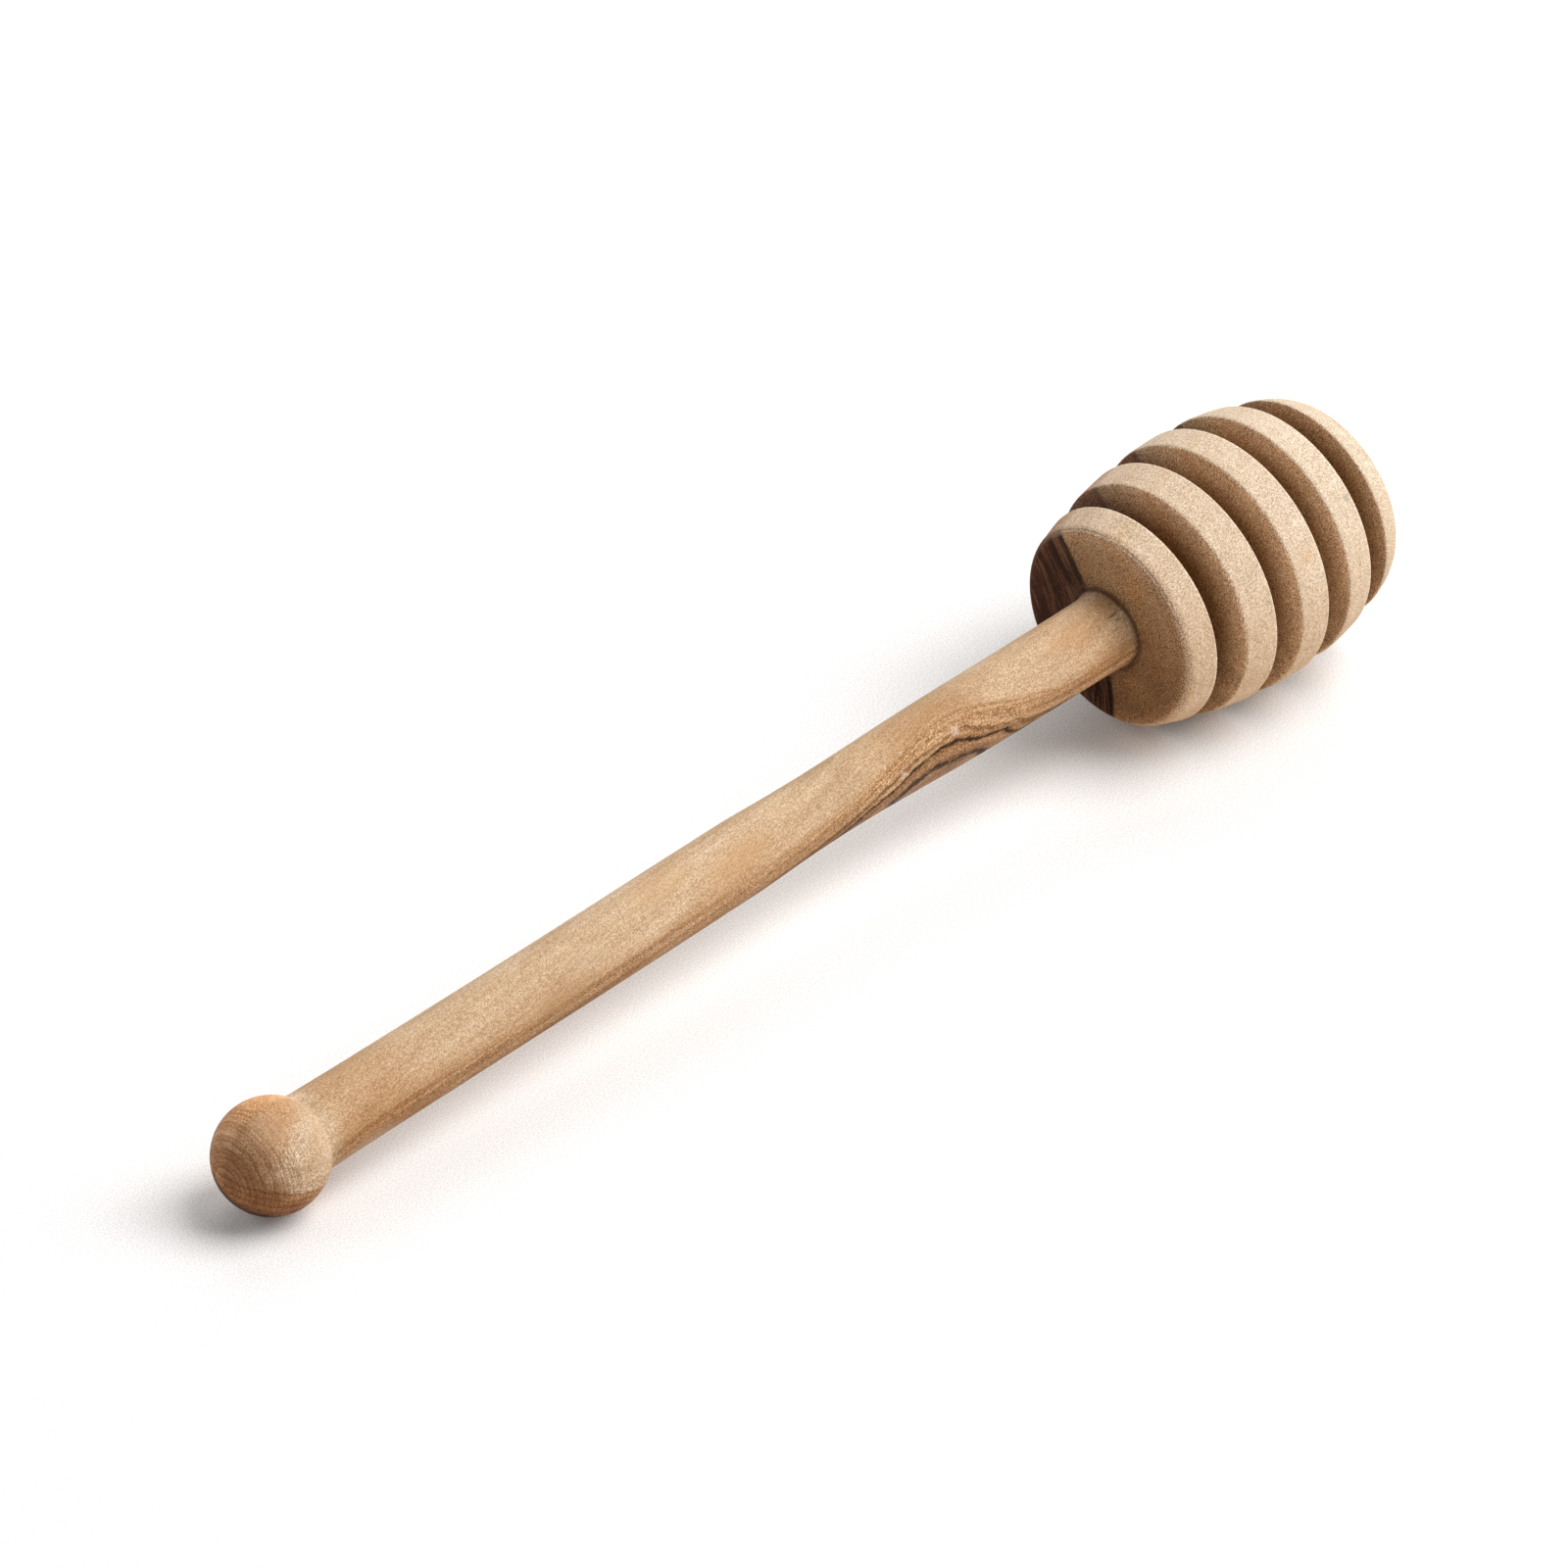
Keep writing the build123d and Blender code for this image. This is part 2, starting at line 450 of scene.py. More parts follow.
def finish_wood(wood, colour, roughness):
    """Links the colour, and the roughness and small bumps that both woods have."""
    tree, shader, fibres = wood.tree, wood.shader, wood.fibres
    tree.links.new(colour, shader.inputs["Base Color"])
    rough = spread(tree, fibres["Speck"], 0.2, 0.8, roughness - 0.08, roughness + 0.08)
    tree.links.new(rough, shader.inputs["Roughness"])
    fine = calc(tree, "SUBTRACT", fibres["Speck"], calc(tree, "MULTIPLY", fibres["Fleck"], 0.6))
    height = calc(tree, "ADD", fine, calc(tree, "MULTIPLY", wood.marks, 0.5))
    bump = node(tree, "Bump", {"Strength": 0.5, "Distance": 0.06 * MM, "Height": height})
    tree.links.new(bump.outputs[0], shader.inputs["Normal"])


# Handle wood. Each table of colours runs from one side of the wood's figure to the other.

KNOT_LAYERS = [
    (0.00, (0.575, 0.420, 0.272)),
    (0.06, (0.55, 0.390, 0.243)),
    (0.125, (0.53, 0.365, 0.218)),
    (0.145, (0.44, 0.270, 0.140)),
    (0.175, (0.52, 0.335, 0.185)),
    (0.26, (0.51, 0.325, 0.175)),
    (0.29, (0.43, 0.255, 0.130)),
    (0.32, (0.51, 0.325, 0.180)),
    (0.40, (0.48, 0.300, 0.160)),
    (0.415, (0.22, 0.115, 0.052)),
    (0.44, (0.27, 0.145, 0.068)),
    (0.455, (0.43, 0.265, 0.140)),
    (0.49, (0.38, 0.225, 0.115)),
    (0.507, (0.035, 0.018, 0.010)),
    (0.52, (0.05, 0.026, 0.014)),
    (0.54, (0.34, 0.195, 0.100)),
    (0.60, (0.34, 0.190, 0.095)),
    (0.635, (0.22, 0.120, 0.062)),
    (0.655, (0.040, 0.022, 0.014)),
    (0.675, (0.080, 0.048, 0.032)),
    (0.70, (0.32, 0.195, 0.112)),
    (1.00, (0.34, 0.205, 0.117)),
]
PLAIN_LAYERS = [
    (0.00, (0.575, 0.420, 0.275)),
    (0.30, (0.555, 0.392, 0.246)),
    (0.55, (0.475, 0.303, 0.167)),
    (0.80, (0.375, 0.218, 0.110)),
]
# From the ball's neck to its lower end
BALL_BROWNS = [
    (0.00, (0.54, 0.325, 0.170)),
    (0.25, (0.46, 0.262, 0.132)),
    (0.60, (0.385, 0.225, 0.125)),
    (0.76, (0.345, 0.197, 0.107)),
    (0.86, (0.255, 0.130, 0.062)),
]
# Tones that the ball's colour is multiplied by, with a dip at each dark line
BALL_LINES = [
    (0.36, (1.0, 1.0, 1.0)),
    (0.375, (0.88, 0.83, 0.78)),
    (0.39, (1.0, 1.0, 1.0)),
    (0.50, (1.0, 1.0, 1.0)),
    (0.515, (0.86, 0.80, 0.74)),
    (0.53, (1.0, 1.0, 1.0)),
    (0.59, (1.0, 1.0, 1.0)),
    (0.605, (0.60, 0.51, 0.43)),
    (0.625, (1.06, 0.96, 0.85)),
    (0.66, (1.04, 0.93, 0.81)),
    (0.672, (0.66, 0.54, 0.44)),
    (0.69, (1.05, 0.93, 0.82)),
    (0.73, (1.02, 0.90, 0.78)),
    (0.742, (0.56, 0.44, 0.35)),
    (0.76, (1.04, 0.91, 0.79)),
    (0.81, (1.02, 0.88, 0.76)),
    (0.825, (0.54, 0.42, 0.33)),
    (0.845, (0.96, 0.82, 0.69)),
    (0.89, (0.92, 0.78, 0.65)),
    (0.91, (0.50, 0.39, 0.31)),
    (1.00, (0.66, 0.54, 0.44)),
]
# Tones that the handle's colour is multiplied by, along its length
HANDLE_TONES = [
    (0.042, (1.00, 1.00, 1.00)),
    (0.056, (0.90, 0.81, 0.72)),
    (0.115, (0.90, 0.81, 0.72)),
    (0.18, (1.00, 1.00, 1.00)),
    (0.49, (1.06, 1.08, 1.13)),
    (0.58, (1.00, 1.00, 1.00)),
    (0.655, (0.92, 0.91, 0.90)),
    (0.69, (1.08, 1.10, 1.13)),
    (0.73, (1.05, 1.07, 1.09)),
    (0.80, (1.00, 1.00, 1.01)),
    (0.92, (1.01, 1.02, 1.06)),
    (0.97, (1.16, 1.15, 1.16)),
]
PALE_FLECK = (0.74, 0.62, 0.48)
DARK_CRACK = (0.07, 0.035, 0.018)
# Small marks: centre in the lathe's space, half sizes, strength and colour
HANDLE_SPOTS = [
    # The first spot, pale on top of the ball, is a painted highlight
    ((-1.5, -2.1, 5.5), (2.8, 3.4, 2.8), 0.4, (0.66, 0.44, 0.27)),
    ((9.5, -2.9, -1.9), (7.5, 2.2, 2.6), 0.8, (0.54, 0.36, 0.225)),
    ((36.5, -4.0, 0.9), (7.0, 1.3, 2.0), 0.45, (0.40, 0.235, 0.112)),
    ((53.5, -1.0, 4.0), (7.0, 2.6, 1.6), 0.45, (0.55, 0.335, 0.160)),
    ((63.0, -2.9, 2.9), (7.0, 2.4, 2.4), 0.55, (0.53, 0.305, 0.135)),
    ((41.0, -2.9, 2.9), (5.0, 2.0, 2.0), 0.35, (0.60, 0.45, 0.31)),
    ((113.6, -1.8, 3.9), (5.0, 2.4, 1.8), 0.35, (0.54, 0.31, 0.155)),
    ((94.7, -3.4, 2.35), (0.85, 0.7, 0.7), 0.5, PALE_FLECK),
    ((86.6, -3.65, 1.1), (0.65, 0.5, 0.5), 0.55, PALE_FLECK),
    ((92.3, -1.9, 3.7), (0.25, 0.2, 0.2), 0.5, PALE_FLECK),
    ((87.3, -2.6, 3.0), (0.3, 0.25, 0.25), 0.5, PALE_FLECK),
    ((84.7, -2.8, 2.75), (0.3, 0.25, 0.25), 0.4, PALE_FLECK),
    ((102.3, -3.96, 1.37), (0.9, 0.3, 0.22), 0.7, DARK_CRACK),
    ((100.4, -3.79, 1.76), (0.8, 0.3, 0.2), 0.45, DARK_CRACK),
    ((120.1, -2.35, 3.68), (1.0, 0.16, 0.4), 0.8, DARK_CRACK),
    ((120.4, -2.9, 3.2), (0.7, 0.14, 0.3), 0.6, DARK_CRACK),
    ((119.6, -4.2, 0.4), (1.6, 0.8, 0.9), 0.5, (0.42, 0.21, 0.09)),
]


def stick_colour(wood, ring, layers, wobble):
    """Even wood towards the ball, and dark layers that a knot lifts into view near the waist.

    Also how far through the knot's layers each place lies.
    """
    tree, station = wood.tree, wood.station
    layer = calc(tree, "ADD", ring, wobble)
    position = calc(tree, "DIVIDE", calc(tree, "SUBTRACT", layer, 2.0), 5.0)
    colour = colour_ramp(tree, position, KNOT_LAYERS)
    # Towards the ball the layers run together
    plain = colour_ramp(tree, calc(tree, "DIVIDE", layer, 5.0), PLAIN_LAYERS)
    colour = mix(tree, spread(tree, station, 82.0, 62.0, 0.0, 0.8), colour, plain)
    # Warmer wood above the knot, and thin streaks along the layers below it
    halo = calc(tree, "ABSOLUTE", calc(tree, "SUBTRACT", station, 91.5))
    halo = calc(tree, "MULTIPLY", spread(tree, halo, 11.0, 2.0), spread(tree, layer, -0.8, 2.2))
    halo = calc(tree, "MULTIPLY", halo, spread(tree, position, 0.16, 0.1))
    colour = mix(tree, halo, colour, (0.445, 0.275, 0.145, 1))
    streaked = times(tree, colour, layers, 0.38, 0.62, (0.66, 0.56, 0.46), (1.12, 1.13, 1.14))
    below = calc(tree, "MULTIPLY", spread(tree, position, 0.12, 0.2), 0.8)
    return mix(tree, below, colour, streaked), position


def ball_colour(wood, broad, ragged, wobble):
    """Pale by the neck and browner towards the lower end, with the layers as thin lines."""
    tree, station, across, up = wood.tree, wood.station, wood.across, wood.up
    lower = calc(tree, "ADD", calc(tree, "MULTIPLY", station, -0.1), calc(tree, "MULTIPLY", up, -0.0625))
    lower = calc(tree, "ADD", lower, calc(tree, "MULTIPLY_ADD", broad, 0.35, 0.5))
    colour = colour_ramp(tree, lower, BALL_BROWNS)
    layer = calc(tree, "ADD", calc(tree, "MULTIPLY", station, -0.356), calc(tree, "MULTIPLY", up, -0.935))
    layer = calc(tree, "DIVIDE", calc(tree, "ADD", calc(tree, "ADD", layer, wobble), 6.0), 12.0)
    pale = calc(tree, "MULTIPLY_ADD", across, -0.825, calc(tree, "SUBTRACT", station, up))
    pale = spread(tree, calc(tree, "MULTIPLY_ADD", ragged, 4.0, pale), -4.2, 0.2)
    pale = calc(tree, "MULTIPLY", pale, spread(tree, lower, 0.84, 0.60))
    pale = calc(tree, "MULTIPLY", pale, spread(tree, layer, 0.62, 0.58, 0.25, 1.0))
    colour = mix(tree, pale, colour, (0.56, 0.415, 0.285, 1))
    colour = times(tree, colour, across, 0.0, 2.6, (1.0, 1.0, 1.0), (1.45, 1.47, 1.52))
    colour = mix(tree, 1.0, colour, colour_ramp(tree, layer, BALL_LINES), "MULTIPLY")
    # Painted shade low on the ball's end, along its outline as the camera sees it, whose border runs
    # slantwise round the ball
    slant = node(tree, "VectorMath", {0: wood.place, 1: LIMB_SHADE_SLANT}, operation="DOT_PRODUCT")
    limb_shade = calc(
        tree, "MULTIPLY",
        spread(tree, slant.outputs["Value"], 2.9, 1.9), spread(tree, station, -2.0, -4.2),
    )
    limb_shade = calc(tree, "MULTIPLY", limb_shade, spread(tree, up, 0.8, -1.4))
    return mix(tree, calc(tree, "MULTIPLY", limb_shade, 0.85), colour, (0.05, 0.027, 0.017, 1))


def handle_material():
    """Honey-beige long grain with the figure of a knot near the waist, browner on the ball."""
    material, wood = new_wood("handle_wood")
    tree, station, fibres = wood.tree, wood.station, wood.fibres
    ring = node(tree, "Attribute", attribute_name="ring").outputs["Fac"]
    layers = growth_layers(wood, ring)
    broad = calc(tree, "SUBTRACT", grain_noise(tree, wood.place, (7, 1, 1), 0.5, 2.0), 0.5)
    ragged = calc(tree, "SUBTRACT", grain_noise(tree, wood.place, (3, 1, 1), 2.2, 3.0, 0.6), 0.5)
    wobble = calc(tree, "ADD", calc(tree, "MULTIPLY", broad, 0.7), calc(tree, "MULTIPLY", ragged, 0.35))
    stick, position = stick_colour(wood, ring, layers, wobble)
    ball = ball_colour(wood, broad, ragged, wobble)
    colour = mix(tree, spread(tree, station, 6.5, 3.5), stick, ball)
    colour = times(tree, colour, layers, 0.3, 0.7, (0.90, 0.86, 0.80), (1.06, 1.07, 1.08))
    tooled = times(tree, colour, wood.marks, 0.40, 0.60, (0.84, 0.80, 0.76), (1.24, 1.29, 1.35))
    colour = mix(tree, spread(tree, station, 1.0, -1.5), colour, tooled)
    tone = colour_ramp(tree, calc(tree, "DIVIDE", station, HANDLE_LENGTH), HANDLE_TONES)
    colour = mix(tree, 1.0, colour, tone, "MULTIPLY")
    colour = times(tree, colour, fibres["Patch"], 0.3, 0.7, (0.90, 0.83, 0.75), (1.07, 1.08, 1.11))
    colour = times(tree, colour, fibres["Streak"], 0.3, 0.7, (0.96, 0.94, 0.91), (1.03, 1.04, 1.06))
    # The surface is rougher on the ball's end and on the knot, and patchier by the head
    colour = times(tree, colour, fibres["Speck"], 0.37, 0.63, (0.69, 0.62, 0.55), (1.21, 1.25, 1.30))
    rougher = times(tree, colour, fibres["Speck"], 0.38, 0.62, (0.66, 0.59, 0.52), (1.24, 1.27, 1.30))
    coarse_ball = spread(tree, station, 3.5, -2.5, 0.0, 0.4)
    coarse_knot = spread(tree, position, 0.10, 0.30, 0.0, 0.8)
    colour = mix(tree, calc(tree, "MAXIMUM", coarse_ball, coarse_knot), colour, rougher)
    patchy = times(tree, colour, fibres["Patch"], 0.35, 0.65, (0.92, 0.83, 0.73), (1.06, 1.05, 1.03))
    colour = mix(tree, spread(tree, station, 108.0, 118.0), colour, patchy)
    for centre, size, strength, spot_colour in HANDLE_SPOTS:
        broken = spread(tree, fibres["Speck"], 0.35, 0.6, 0.3, strength)
        share = calc(tree, "MULTIPLY", spot(wood, centre, size), broken)
        colour = mix(tree, share, colour, (*spot_colour, 1))
    colour = mix(tree, calc(tree, "MULTIPLY", fibres["Fleck"], 0.45), colour, (0.36, 0.205, 0.095, 1))
    # Painted shade on the stick's end next to the head's face, with a ragged border
    joint = calc(tree, "MULTIPLY_ADD", ragged, 3.0, station)
    joint = spread(tree, joint, HANDLE_LENGTH - 1.4, HANDLE_LENGTH)
    colour = mix(tree, calc(tree, "MULTIPLY", joint, 0.5), colour, (0.09, 0.05, 0.028, 1))
    finish_wood(wood, colour, 0.58)
    return material


# Head wood. Each table of colours runs from the heartwood to the sapwood, with the border near 0.47.

FACE_RINGS = [
    (0.00, (0.082, 0.027, 0.011)),
    (0.12, (0.110, 0.038, 0.016)),
    (0.20, (0.066, 0.021, 0.008)),
    (0.26, (0.110, 0.038, 0.016)),
    (0.31, (0.052, 0.017, 0.007)),
    (0.35, (0.100, 0.036, 0.016)),
    (0.385, (0.066, 0.022, 0.009)),
    (0.405, (0.022, 0.008, 0.004)),
    (0.418, (0.105, 0.042, 0.020)),
    (0.438, (0.130, 0.054, 0.026)),
    (0.452, (0.022, 0.009, 0.005)),
    (0.468, (0.030, 0.012, 0.006)),
    (0.482, (0.40, 0.250, 0.145)),
    (0.56, (0.44, 0.280, 0.165)),
    (0.64, (0.45, 0.290, 0.170)),
    (0.70, (0.44, 0.265, 0.145)),
    (0.78, (0.45, 0.290, 0.170)),
    (1.00, (0.48, 0.315, 0.190)),
]
WALL_RINGS = [
    (0.00, (0.140, 0.068, 0.037)),
    (0.30, (0.175, 0.088, 0.049)),
    (0.43, (0.200, 0.106, 0.062)),
    (0.455, (0.115, 0.059, 0.034)),
    (0.466, (0.145, 0.081, 0.048)),
    (0.485, (0.27, 0.175, 0.108)),
    (0.56, (0.36, 0.235, 0.140)),
    (0.66, (0.45, 0.290, 0.170)),
    (0.70, (0.44, 0.265, 0.145)),
    (0.78, (0.45, 0.290, 0.170)),
    (1.00, (0.48, 0.315, 0.190)),
]
BAND_RINGS = [
    (0.00, (0.15, 0.075, 0.042)),
    (0.14, (0.20, 0.105, 0.060)),
    (0.20, (0.13, 0.063, 0.035)),
    (0.29, (0.20, 0.105, 0.060)),
    (0.34, (0.12, 0.060, 0.034)),
    (0.365, (0.36, 0.23, 0.147)),
    (0.455, (0.467, 0.33, 0.224)),
    (0.49, (0.585, 0.457, 0.335)),
    (0.70, (0.605, 0.475, 0.35)),
    (0.72, (0.578, 0.438, 0.3)),
    (0.75, (0.605, 0.475, 0.35)),
]
# Painted light and shade that the head's colour is multiplied by, from its top to its underside
HEAD_LIGHT_AND_SHADE = [
    (0.00, (1.06, 1.09, 1.14)),
    (0.15, (1.03, 1.05, 1.08)),
    (0.40, (1.00, 1.00, 1.00)),
    (1.00, (0.97, 0.89, 0.80)),
]
HEAD_SPOTS = [
    ((147.7, -11.3, 8.8), (0.55, 0.7, 0.7), 0.7, (0.34, 0.33, 0.25)),
    ((138.9, -13.4, 6.7), (1.0, 1.3, 1.3), 0.25, (0.58, 0.34, 0.14)),
    ((121.6, -4.3, 7.3), (2.0, 2.2, 2.2), 0.4, (0.40, 0.20, 0.09)),
    ((121.6, -4.6, -6.4), (2.0, 2.6, 2.8), 0.3, (0.38, 0.20, 0.09)),
]


def head_rings(wood):
    """The growth ring, as the distance from the log's pith, and how far from heart to sapwood it is."""
    tree = wood.tree
    from_pith = node(tree, "CombineXYZ", {
        1: calc(tree, "SUBTRACT", wood.across, PITH[0]),
        2: calc(tree, "SUBTRACT", wood.up, PITH[1]),
    })
    ring = node(tree, "VectorMath", {0: from_pith.outputs[0]}, operation="LENGTH").outputs["Value"]
    inwards = calc(tree, "SUBTRACT", wood.station, HANDLE_LENGTH + 8.0)
    inwards = calc(tree, "MAXIMUM", inwards, 0.0)
    ring = calc(tree, "ADD", ring, calc(tree, "MULTIPLY", inwards, 0.12))
    wobble = calc(tree, "SUBTRACT", grain_noise(tree, wood.place, (10, 1, 1), 0.5, 4.0, 0.6), 0.5)
    position = calc(tree, "ADD", ring, calc(tree, "MULTIPLY", wobble, 0.8))
    position = calc(tree, "DIVIDE", calc(tree, "SUBTRACT", position, 16.0), 32.0)
    return ring, position, wobble


def cut_colour(wood, position, wobble, on_face):
    """Colour across the grain: walls pale towards their outer edge, and a face with painted shade low down.
    """
    tree = wood.tree
    outwards = spread(tree, wood.radius, 8.5, 14.8)
    wall = colour_ramp(tree, position, WALL_RINGS)
    wall = times(tree, wall, outwards, 0.0, 1.0, (0.55, 0.475, 0.35), (1.34, 1.37, 1.39))
    face = colour_ramp(tree, position, FACE_RINGS)
    face = times(tree, face, outwards, 0.0, 1.0, (0.70, 0.66, 0.58), (1.36, 1.40, 1.44))
    # Painted shade low on the front face, below the handle
    low_face_shade = spread(tree, calc(tree, "MULTIPLY_ADD", wobble, 14.0, wood.up), 6.0, -9.0)
    low_face_shade = calc(tree, "MULTIPLY", low_face_shade, spread(tree, wood.radius, 12.0, 10.0))
    face = times(tree, face, low_face_shade, 0.0, 1.0, (0.96, 0.94, 0.93), (0.62, 0.56, 0.50))
    return mix(tree, on_face, wall, face)


def marked_face(wood, colour, on_face):
    """The face's thin tool lines near its top, the soft ring inside its edge, painted shade round its joint
    and a dark ring right at it.
    """
    tree, radius, across, up = wood.tree, wood.radius, wood.across, wood.up
    shown = spread(tree, wood.fibres["Patch"], 0.3, 0.5)
    shown = calc(tree, "MULTIPLY", spread(tree, up, 3.0, 9.0, 0.0, 0.5), shown)
    for line_radius in FACE_LINES:
        near = calc(tree, "ABSOLUTE", calc(tree, "SUBTRACT", radius, line_radius))
        line = calc(tree, "MULTIPLY", spread(tree, near, 0.08, 0.02), on_face)
        colour = mix(tree, calc(tree, "MULTIPLY", line, shown), colour, (0.13, 0.065, 0.03, 1))
    rim = calc(tree, "MULTIPLY", spread(tree, radius, 9.4, 10.8), spread(tree, across, -3.0, -8.0))
    rim = calc(tree, "MULTIPLY", rim, spread(tree, radius, 12.5, 11.2))
    rim = calc(tree, "MULTIPLY", rim, calc(tree, "MULTIPLY", on_face, spread(tree, up, -8.0, -3.0)))
    colour = times(tree, colour, rim, 0.0, 1.0, (1.0, 1.0, 1.0), (0.80, 0.74, 0.72))
    # Painted shade on the face round the handle
    shade = calc(tree, "MULTIPLY", spread(tree, radius, 7.0, 4.6), on_face)
    colour = mix(tree, calc(tree, "MULTIPLY", shade, 0.45), colour, (0.14, 0.075, 0.035, 1))
    contact = calc(tree, "MULTIPLY", spread(tree, radius, 5.35, 4.8), on_face)
    return mix(tree, calc(tree, "MULTIPLY", contact, 0.65), colour, (0.05, 0.026, 0.014, 1))


def edge_highlights(wood, colour, end):
    """A painted highlight along the crisp outer edge of each disc."""
    tree = wood.tree
    along = calc(tree, "SUBTRACT", wood.station, HANDLE_LENGTH + FIRST_DISC)
    along = calc(tree, "WRAP", along, 1.0, 1.0 - DISC_PITCH)
    edge = spread(tree, calc(tree, "ABSOLUTE", along), 0.26, 0.06)
    edge = calc(tree, "MULTIPLY", edge, spread(tree, end, 0.9, 0.6))
    return mix(tree, calc(tree, "MULTIPLY", edge, 0.85), colour, (0.80, 0.68, 0.52, 1))


def heartwood_fibres(wood, colour, layers, position, end):
    """Light and dark fibres along the rings where the heartwood is cut across."""
    tree = wood.tree
    dark_wood = calc(tree, "MULTIPLY", spread(tree, position, 0.47, 0.45), spread(tree, end, 0.3, 0.9))
    light = calc(tree, "MULTIPLY", spread(tree, layers, 0.50, 0.62), dark_wood)
    dark = calc(tree, "SUBTRACT", dark_wood, light)
    colour = mix(tree, calc(tree, "MULTIPLY", light, 0.36), colour, (0.25, 0.12, 0.065, 1))
    return mix(tree, calc(tree, "MULTIPLY", dark, 0.28), colour, (0.02, 0.008, 0.004, 1))


def head_material():
    """Pale sapwood with a dark sector of heartwood, in rings round the log's pith."""
    material, wood = new_wood("head_wood")
    tree, station, up, fibres = wood.tree, wood.station, wood.up, wood.fibres
    end = node(tree, "Attribute", attribute_name="end_grain").outputs["Fac"]
    ring, position, wobble = head_rings(wood)
    layers = growth_layers(wood, ring)
    on_face = spread(tree, station, HANDLE_LENGTH + 1.6, HANDLE_LENGTH + 0.9)
    inside = spread(tree, wood.radius, FACE_EDGE + 0.3, FACE_EDGE - 0.2, 0.0, 0.4)
    inside = calc(tree, "ADD", inside, spread(tree, wood.radius, 12.6, FACE_EDGE - 0.4, 0.0, 0.6))
    end_share = mix_number(tree, on_face, spread(tree, end, 0.4, 0.9), inside)
    band = colour_ramp(tree, position, BAND_RINGS)
    colour = mix(tree, end_share, band, cut_colour(wood, position, wobble, on_face))
    colour = marked_face(wood, colour, on_face)
    # Painted highlights along the discs' crisp edges
    colour = edge_highlights(wood, colour, end)
    for centre, size, strength, spot_colour in HEAD_SPOTS:
        share = calc(tree, "MULTIPLY", spot(wood, centre, size), strength)
        colour = mix(tree, share, colour, (*spot_colour, 1))
    colour = times(tree, colour, layers, 0.3, 0.7, (0.92, 0.90, 0.87), (1.05, 1.05, 1.05))
    # Changes of tone along the head, then painted light on its top and painted shade on its underside,
    # heaviest on the low walls
    along = spread(tree, station, HANDLE_LENGTH, HANDLE_LENGTH + 30.0)
    colour = times(tree, colour, along, 0.0, 1.0, (1.07, 1.04, 1.00), (1.02, 1.05, 1.07))
    # Painted light on the head's top and painted shade on its underside
    tone = colour_ramp(tree, spread(tree, up, 14.0, -12.0), HEAD_LIGHT_AND_SHADE)
    colour = mix(tree, 1.0, colour, tone, "MULTIPLY")
    # Painted shade on the low walls and low on the face, broken up by patches
    low_wall_shade = calc(tree, "MULTIPLY", spread(tree, up, 4.0, -6.0), end_share)
    low_wall_shade = calc(tree, "MULTIPLY", low_wall_shade, spread(tree, position, 0.465, 0.485))
    low_wall_shade = calc(tree, "MULTIPLY", low_wall_shade, spread(tree, fibres["Patch"], 0.4, 0.6, 0.3, 1.0))
    colour = mix(tree, calc(tree, "MULTIPLY", low_wall_shade, 0.45), colour, (0.17, 0.095, 0.045, 1))
    # The surface, rougher where the grain is cut across
    colour = times(tree, colour, wood.marks, 0.3, 0.7, (0.94, 0.92, 0.90), (1.04, 1.05, 1.06))
    colour = times(tree, colour, fibres["Patch"], 0.3, 0.7, (0.97, 0.94, 0.90), (1.03, 1.03, 1.04))
    colour = times(tree, colour, fibres["Speck"], 0.38, 0.62, (0.68, 0.62, 0.56), (1.21, 1.24, 1.27))
    rougher = times(tree, colour, fibres["Speck"], 0.38, 0.62, (0.56, 0.50, 0.44), (1.33, 1.36, 1.39))
    colour = mix(tree, spread(tree, end, 0.3, 0.95), colour, rougher)
    colour = heartwood_fibres(wood, colour, layers, position, end)
    colour = mix(tree, calc(tree, "MULTIPLY", fibres["Fleck"], 0.12), colour, (0.36, 0.23, 0.13, 1))
    finish_wood(wood, colour, 0.66)
    return material


def dress(piece, material, cad_node):
    """Gives a piece its material and has it stand for its CAD node."""
    piece.data.materials.append(material)
    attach(piece, "root")
    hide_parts(cad_node)


dress(handle, handle_material(), "handle")
dress(head, head_material(), "dipper_head")


# Floor, light and camera

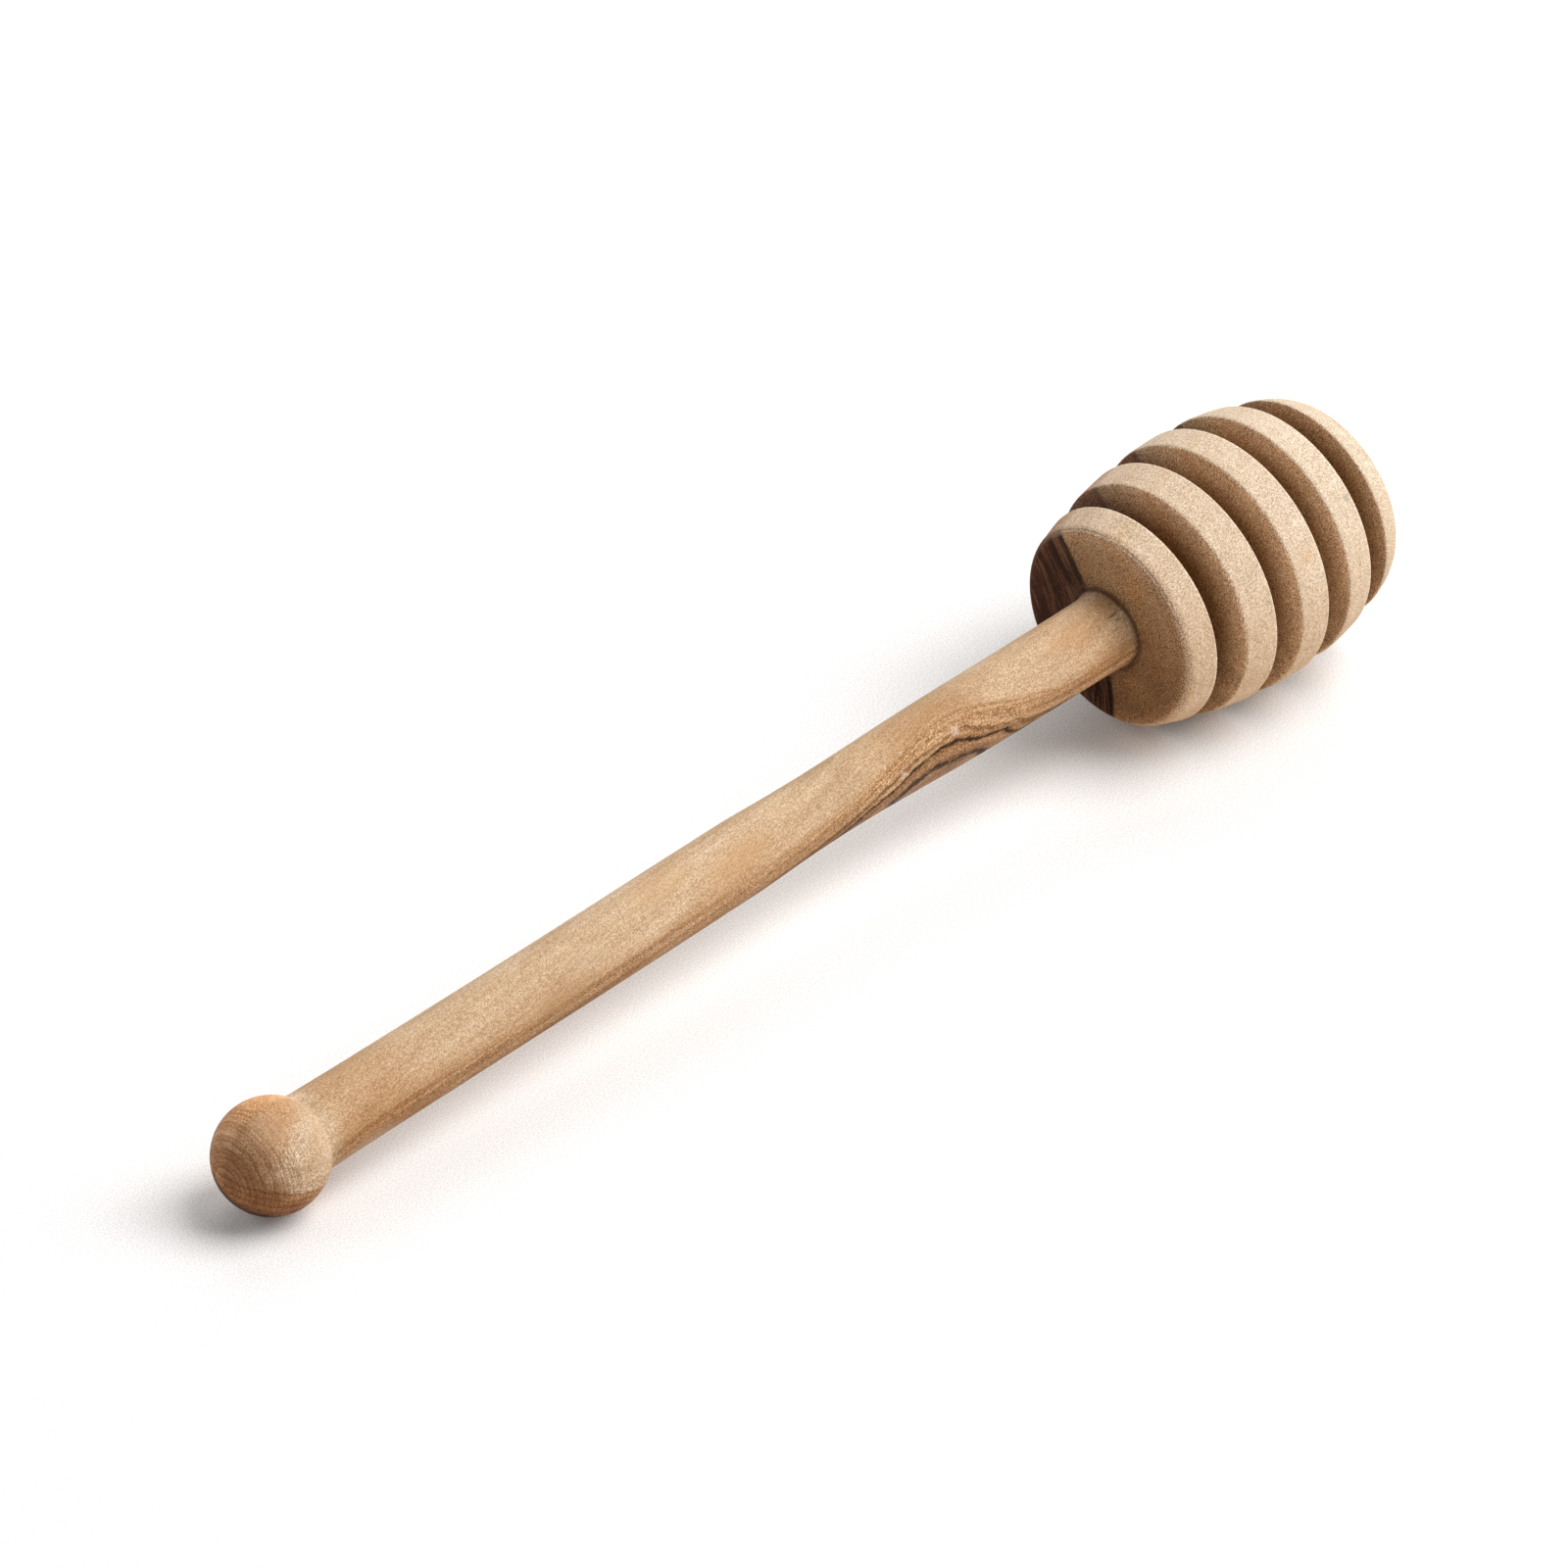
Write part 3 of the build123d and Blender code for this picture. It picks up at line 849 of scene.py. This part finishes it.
def make_floor():
    """A level white floor far wider than the picture."""
    reach = 3.0
    mesh = bpy.data.meshes.new("floor")
    corners = [(-reach, -reach, 0), (reach, -reach, 0), (reach, reach, 0), (-reach, reach, 0)]
    mesh.from_pydata(corners, [], [(0, 1, 2, 3)])
    floor = bpy.data.objects.new("floor", mesh)
    bpy.context.scene.collection.objects.link(floor)
    material = bpy.data.materials.new("floor_paper")
    material.use_nodes = True
    tree = material.node_tree
    shader = tree.nodes["Principled BSDF"]
    place = node(tree, "TexCoord").outputs["Object"]
    grain = node(tree, "TexNoise", {"Vector": place, "Scale": 5000.0, "Detail": 2.0}).outputs["Fac"]
    paper = colour_ramp(tree, grain, [(0.36, (0.76, 0.742, 0.73)), (0.64, (1.0, 0.982, 0.97))])
    tree.links.new(paper, shader.inputs["Base Color"])
    shader.inputs["Roughness"].default_value = 0.9
    mesh.materials.append(material)


def make_light(name, turn, rise, width, height, power):
    """A rectangular area light one metre from the origin, which it faces.

    It stands turn degrees round from the picture's right towards its back, and rise degrees up.
    """
    data = bpy.data.lights.new(name, "AREA")
    data.shape = "RECTANGLE"
    data.size, data.size_y = width, height
    data.energy = power
    light = bpy.data.objects.new(name, data)
    bpy.context.scene.collection.objects.link(light)
    turn, rise = radians(turn - 45), radians(rise)
    place = Vector((cos(turn) * cos(rise), sin(turn) * cos(rise), sin(rise)))
    light.location = place
    light.rotation_euler = (-place).to_track_quat("-Z", "Y").to_euler()


make_floor()
make_light("softbox", 6, 48, 0.75, 1.15, 15.3)
make_light("back_window", 85, 36, 0.9, 0.7, 4.7)
make_light("front_card", 255, 25, 0.8, 0.45, 2.5)
make_light("left_card", 165, 32, 0.9, 0.5, 2.1)

world = bpy.data.worlds.new("studio")
world.use_nodes = True
world_tree = world.node_tree
background = world_tree.nodes["Background"]
background.inputs["Color"].default_value = (1, 1, 1, 1)
# White behind the dipper, but faint as a light
seen = node(world_tree, "LightPath").outputs["Is Camera Ray"]
world_tree.links.new(spread(world_tree, seen, 0.0, 1.0, 0.06, 1.0), background.inputs["Strength"])
bpy.context.scene.world = world

camera = bpy.data.objects.new("camera", bpy.data.cameras.new("camera"))
bpy.context.scene.collection.objects.link(camera)
camera.location = (-0.486134, -0.481864, 0.465871)
camera.rotation_euler = (radians(56.606), 0, radians(-44.98))
camera.data.lens = 180
camera.data.sensor_width = 36
camera.data.clip_start = 0.05
bpy.context.scene.camera = camera
bpy.context.scene.view_settings.view_transform = "Standard"
